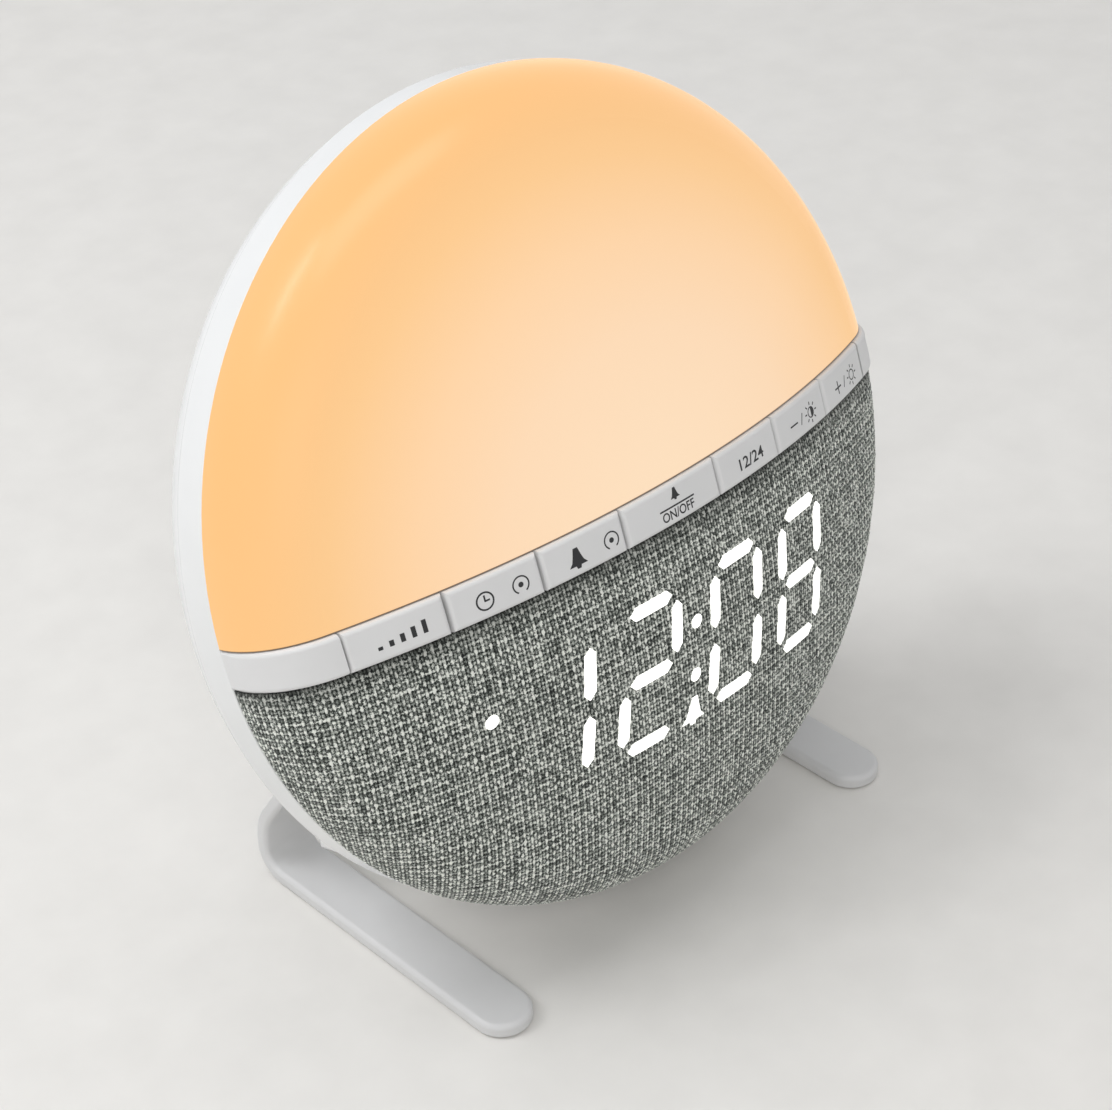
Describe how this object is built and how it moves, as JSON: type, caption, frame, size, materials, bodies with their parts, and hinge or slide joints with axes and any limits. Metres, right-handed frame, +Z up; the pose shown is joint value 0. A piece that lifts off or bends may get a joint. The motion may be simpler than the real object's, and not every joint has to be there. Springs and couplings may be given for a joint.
{
  "type": "sunrise alarm clock",
  "caption": "Domed disc clock on bent legs: a lamp dome above, a cloth-covered segment display below, and a strip of push keys between them.",
  "frame": {"origin": "centre of the overall box, on the surface the clock stands on", "axes": "+X to the right of someone facing the display, +Y to the back, +Z up"},
  "size_m": [0.175, 0.088, 0.1716],
  "materials": {
    "rim_plastic": "glossy injection-moulded ABS",
    "diffuser": "frosted translucent polycarbonate, lit from inside",
    "cloth": "plain-woven grey polyester cloth",
    "key_plastic": "satin ABS",
    "leg_plastic": "satin powder coat on a bent strip",
    "pad_rubber": "matte silicone rubber",
    "inner_white": "matt white moulding",
    "inner_black": "matt black moulding",
    "circuit_board": "green solder mask",
    "lamp_board": "white solder mask",
    "led": "phosphor-coated chips",
    "lens": "clear milky inserts",
    "speaker_steel": "pressed and plated steel",
    "speaker_cone": "treated paper cone",
    "cell_steel": "nickel-plated can",
    "screw_steel": "zinc-plated",
    "ribbon": "PVC flat cable"
  },
  "bodies": {
    "body": {"rim_frame": "rim_plastic", "rear_cover": "rim_plastic", "diffuser": "diffuser", "lower_shell": "inner_white", "fabric_cover": "cloth", "strip_end_left": "key_plastic", "strip_end_right": "key_plastic", "key_carrier": "inner_black", "key_board": "circuit_board", "tact_switches": "inner_black", "led_board": "lamp_board", "led_chips": "led", "reflector": "inner_white", "segment_block": "inner_black", "segment_lenses": "lens", "display_board": "circuit_board", "display_leds": "led", "board_components": "inner_black", "speaker_frame": "speaker_steel", "speaker_cone": "speaker_cone", "speaker_magnet": "speaker_steel", "power_board": "circuit_board", "power_socket": "inner_black", "cell_holder": "inner_black", "coin_cell": "cell_steel", "leg_left": "leg_plastic", "leg_right": "leg_plastic", "foot_pads": "pad_rubber", "housing_screws": "screw_steel", "leg_screws": "screw_steel", "board_screws": "screw_steel", "speaker_screws": "screw_steel", "ribbon_cables": "ribbon"},
    "key_dimmer": {"key_dimmer": "key_plastic"},
    "key_time": {"key_time": "key_plastic"},
    "key_alarm": {"key_alarm": "key_plastic"},
    "key_alarm_switch": {"key_alarm_switch": "key_plastic"},
    "key_hour_format": {"key_hour_format": "key_plastic"},
    "key_minus": {"key_minus": "key_plastic"},
    "key_plus": {"key_plus": "key_plastic"},
    "battery_door": {"battery_door": "rim_plastic"}
  },
  "joints": [
    {"name": "key_dimmer_press", "type": "slide", "parent": "body", "child": "key_dimmer", "axis": [0, 0.9455, -0.3256], "range_m": [0, 0.0005], "stiffness_N_per_m": 400, "springref_m": -0.0012},
    {"name": "key_time_press", "type": "slide", "parent": "body", "child": "key_time", "axis": [0, 0.9455, -0.3256], "range_m": [0, 0.0005], "stiffness_N_per_m": 400, "springref_m": -0.0012},
    {"name": "key_alarm_press", "type": "slide", "parent": "body", "child": "key_alarm", "axis": [0, 0.9455, -0.3256], "range_m": [0, 0.0005], "stiffness_N_per_m": 400, "springref_m": -0.0012},
    {"name": "key_alarm_switch_press", "type": "slide", "parent": "body", "child": "key_alarm_switch", "axis": [0, 0.9455, -0.3256], "range_m": [0, 0.0005], "stiffness_N_per_m": 400, "springref_m": -0.0012},
    {"name": "key_hour_format_press", "type": "slide", "parent": "body", "child": "key_hour_format", "axis": [0, 0.9455, -0.3256], "range_m": [0, 0.0005], "stiffness_N_per_m": 400, "springref_m": -0.0012},
    {"name": "key_minus_press", "type": "slide", "parent": "body", "child": "key_minus", "axis": [0, 0.9455, -0.3256], "range_m": [0, 0.0005], "stiffness_N_per_m": 400, "springref_m": -0.0012},
    {"name": "key_plus_press", "type": "slide", "parent": "body", "child": "key_plus", "axis": [0, 0.9455, -0.3256], "range_m": [0, 0.0005], "stiffness_N_per_m": 400, "springref_m": -0.0012},
    {"name": "battery_door_turn", "type": "hinge", "parent": "body", "child": "battery_door", "pos_m": [0.027, 0.01331, 0.03719], "axis": [0, -0.9455, 0.3256], "range_deg": [0, 45]}
  ]
}
